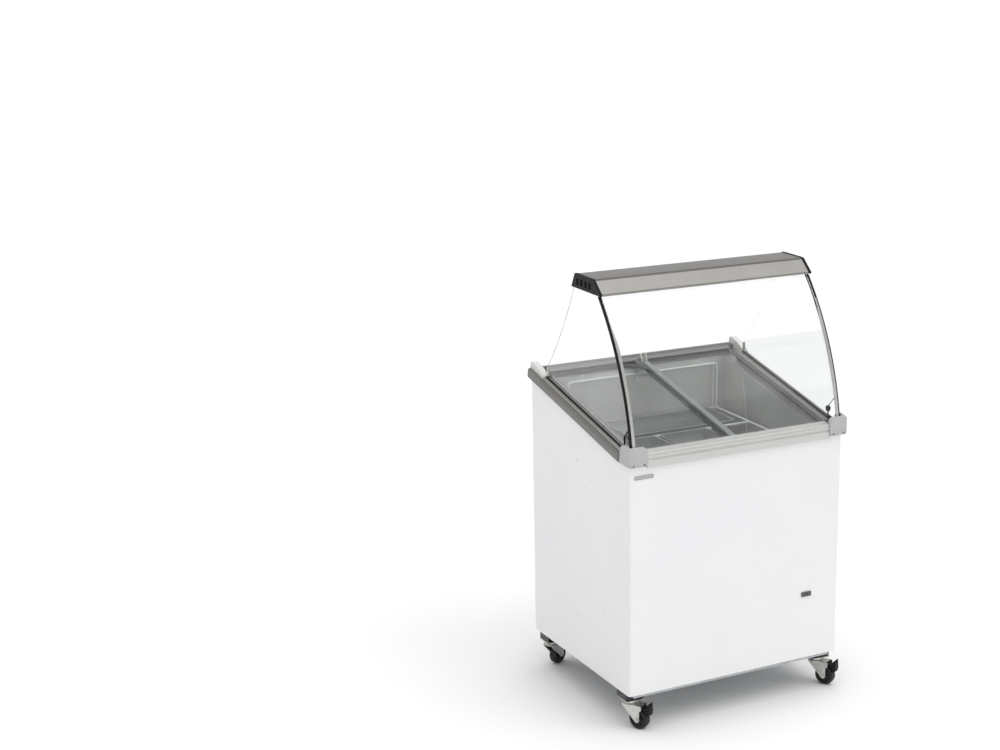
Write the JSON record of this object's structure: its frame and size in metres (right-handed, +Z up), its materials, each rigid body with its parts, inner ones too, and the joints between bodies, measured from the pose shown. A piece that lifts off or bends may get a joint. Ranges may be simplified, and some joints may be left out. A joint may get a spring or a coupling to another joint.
{
  "type": "scooping chest freezer",
  "caption": "Low chest freezer on casters with a sloped top, sliding glass lids, a curved glass guard under a lamp canopy, and pans in a wire rack.",
  "frame": {"origin": "centre of the bounding box on the floor, under the four casters", "axes": "+Z up, -Y towards the customer (the low front edge with the curved glass), +Y towards the server, +X to the customer's right"},
  "size_m": [0.72, 0.6333, 1.2632],
  "materials": {
    "white_steel": "satin",
    "galvanised_steel": "satin",
    "stucco_aluminium": "satin",
    "insulation_foam": "matte",
    "black_steel": "satin",
    "front_rail": "satin",
    "dark_rail": "satin",
    "grey_moulding": "satin",
    "pale_moulding": "satin",
    "black_rubber": "matte",
    "canopy_aluminium": "satin",
    "post_trim": "satin",
    "clear_glass": "gloss",
    "lid_profile": "satin",
    "black_plastic": "satin",
    "lamp_diffuser": "matte",
    "display_plastic": "gloss",
    "badge": "satin",
    "condenser_fins": "satin",
    "pan_plastic": "satin",
    "white_wire": "gloss",
    "zinc_steel": "polished",
    "black_wheel": "satin"
  },
  "bodies": {
    "cabinet": {"outer_shell": "white_steel", "base_pan": "galvanised_steel", "foam_insulation": "insulation_foam", "inner_liner": "stucco_aluminium", "front_base_beam": "black_steel", "rear_base_beam": "black_steel", "front_rail": "front_rail", "rear_rail": "dark_rail", "right_rail": "dark_rail", "left_rail": "dark_rail", "right_glass_seal": "black_rubber", "left_glass_seal": "black_rubber", "right_corner_block": "grey_moulding", "left_corner_block": "grey_moulding", "right_rear_cap": "pale_moulding", "left_rear_cap": "pale_moulding", "curved_front_glass": "clear_glass", "right_post_seal": "black_rubber", "right_post_trim": "post_trim", "left_post_seal": "black_rubber", "left_post_trim": "post_trim", "right_side_glass": "clear_glass", "left_side_glass": "clear_glass", "canopy_housing": "canopy_aluminium", "right_canopy_cap": "black_plastic", "left_canopy_cap": "black_plastic", "lamp_diffuser": "lamp_diffuser", "controller_display": "display_plastic", "front_badge": "badge", "vent_grille": "galvanised_steel", "compressor": "black_steel", "condenser": "condenser_fins", "fan_motor": "galvanised_steel", "cable_gland": "black_plastic", "rear_pan": "pan_plastic", "front_pan_left": "pan_plastic", "front_pan_right": "pan_plastic", "pan_rack": "white_wire", "front_left_plate": "zinc_steel", "front_right_plate": "zinc_steel", "rear_left_plate": "zinc_steel", "rear_right_plate": "zinc_steel"},
    "left_lid": {"left_lid_glass": "clear_glass", "left_lid_outer_strip": "lid_profile", "left_lid_centre_strip": "black_plastic"},
    "right_lid": {"right_lid_glass": "clear_glass", "right_lid_outer_strip": "lid_profile", "right_lid_centre_strip": "lid_profile"},
    "fan": {"fan_blades": "black_plastic"},
    "light_switch": {"lamp_switch": "black_plastic"},
    "front_left_swivel": {"front_left_fork": "zinc_steel"},
    "front_left_roller": {"front_left_wheel": "black_wheel"},
    "front_left_pedal": {"front_left_brake": "black_plastic"},
    "front_right_swivel": {"front_right_fork": "zinc_steel"},
    "front_right_roller": {"front_right_wheel": "black_wheel"},
    "front_right_pedal": {"front_right_brake": "black_plastic"},
    "rear_left_swivel": {"rear_left_fork": "zinc_steel"},
    "rear_left_roller": {"rear_left_wheel": "black_wheel"},
    "rear_right_swivel": {"rear_right_fork": "zinc_steel"},
    "rear_right_roller": {"rear_right_wheel": "black_wheel"}
  },
  "joints": [
    {"name": "left_lid_slide", "type": "slide", "parent": "cabinet", "child": "left_lid", "axis": [1, 0, 0], "range_m": [0, 0.3]},
    {"name": "right_lid_slide", "type": "slide", "parent": "cabinet", "child": "right_lid", "axis": [-1, 0, 0], "range_m": [0, 0.28]},
    {"name": "fan_spin", "type": "hinge", "parent": "cabinet", "child": "fan", "pos_m": [0.18, 0.183, 0.218], "axis": [0, 1, 0], "continuous": true},
    {"name": "light_switch_rock", "type": "hinge", "parent": "cabinet", "child": "light_switch", "pos_m": [0.3, 0.3054, 0.14], "axis": [0, 0, 1], "range_deg": [-8, 8]},
    {"name": "front_left_steer", "type": "hinge", "parent": "cabinet", "child": "front_left_swivel", "pos_m": [-0.318, -0.25, 0.075], "axis": [0, 0, 1], "continuous": true},
    {"name": "front_left_roll", "type": "hinge", "parent": "front_left_swivel", "child": "front_left_roller", "pos_m": [-0.30392, -0.27649, 0.03], "axis": [0.8829, 0.4695, 0], "continuous": true},
    {"name": "front_left_brake_press", "type": "hinge", "parent": "front_left_swivel", "child": "front_left_pedal", "pos_m": [-0.29894, -0.28585, 0.0654], "axis": [0.8829, 0.4695, 0], "range_deg": [0, 6]},
    {"name": "front_right_steer", "type": "hinge", "parent": "cabinet", "child": "front_right_swivel", "pos_m": [0.318, -0.25, 0.075], "axis": [0, 0, 1], "continuous": true},
    {"name": "front_right_roll", "type": "hinge", "parent": "front_right_swivel", "child": "front_right_roller", "pos_m": [0.33208, -0.27649, 0.03], "axis": [0.8829, 0.4695, 0], "continuous": true},
    {"name": "front_right_brake_press", "type": "hinge", "parent": "front_right_swivel", "child": "front_right_pedal", "pos_m": [0.33706, -0.28585, 0.0654], "axis": [0.8829, 0.4695, 0], "range_deg": [0, 6]},
    {"name": "rear_left_steer", "type": "hinge", "parent": "cabinet", "child": "rear_left_swivel", "pos_m": [-0.318, 0.25, 0.075], "axis": [0, 0, 1], "continuous": true},
    {"name": "rear_left_roll", "type": "hinge", "parent": "rear_left_swivel", "child": "rear_left_roller", "pos_m": [-0.29151, 0.26408, 0.03], "axis": [-0.4695, 0.8829, 0], "continuous": true},
    {"name": "rear_right_steer", "type": "hinge", "parent": "cabinet", "child": "rear_right_swivel", "pos_m": [0.318, 0.25, 0.075], "axis": [0, 0, 1], "continuous": true},
    {"name": "rear_right_roll", "type": "hinge", "parent": "rear_right_swivel", "child": "rear_right_roller", "pos_m": [0.30392, 0.27649, 0.03], "axis": [-0.8829, -0.4695, 0], "continuous": true}
  ]
}
